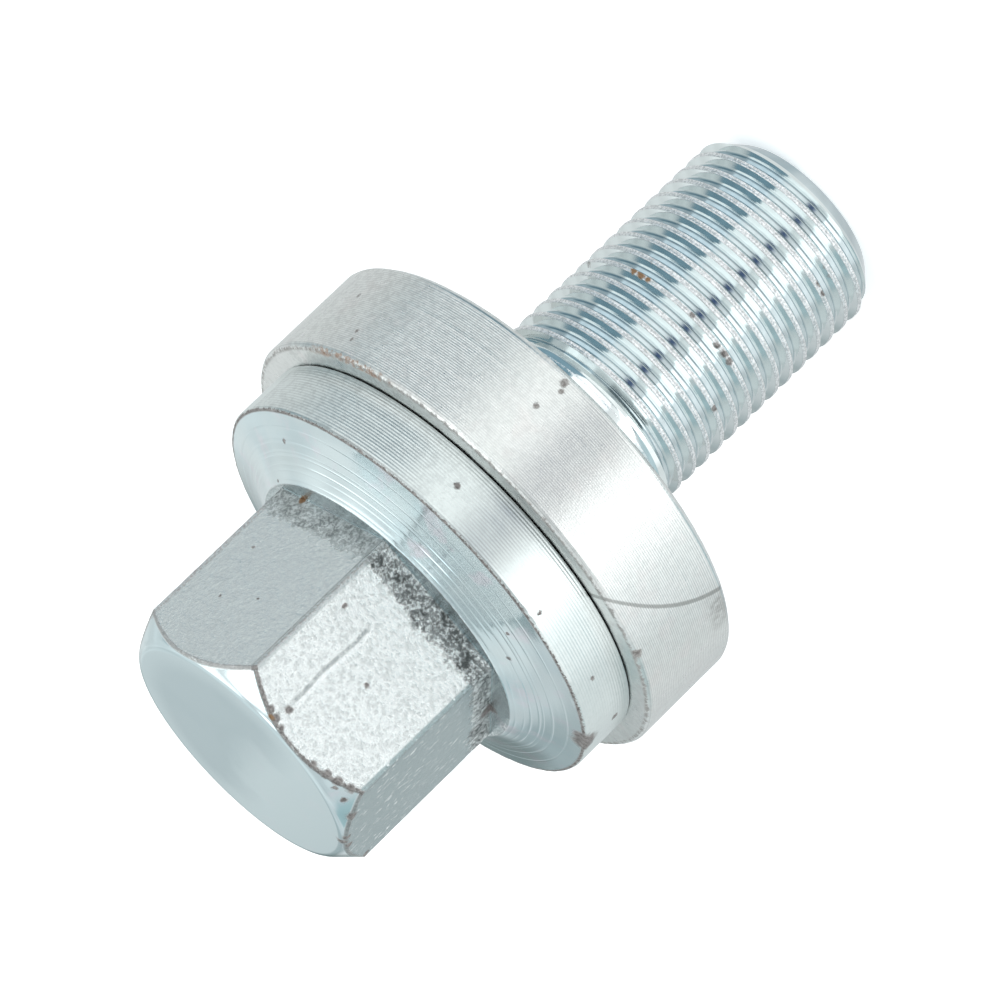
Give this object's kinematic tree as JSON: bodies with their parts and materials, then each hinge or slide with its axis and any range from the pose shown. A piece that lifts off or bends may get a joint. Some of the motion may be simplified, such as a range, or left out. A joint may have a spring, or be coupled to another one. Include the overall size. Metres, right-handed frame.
{
  "type": "crankshaft pulley bolt",
  "caption": "Hex flange bolt with a fine-threaded shank, a hollow-turned flange and a thick plain washer that turns freely on the neck.",
  "frame": {"origin": "centre of the flat end face of the thread, which the bolt stands on", "axes": "+Z along the bolt's axis, from the thread's end towards the hex head; +X through a corner of the hexagon"},
  "size_m": [0.032, 0.032, 0.0493],
  "materials": {
    "bolt": "blue-white zinc plating over forged, turned and rolled steel, with light rust",
    "washer": "worn white zinc plating over fine turning marks"
  },
  "bodies": {
    "bolt": {"flange_bolt": "bolt"},
    "washer": {"captive_washer": "washer"}
  },
  "joints": [
    {"name": "washer_spin", "type": "hinge", "parent": "bolt", "child": "washer", "pos_m": [0, 0, 0.0273], "axis": [0, 0, 1], "continuous": true}
  ]
}
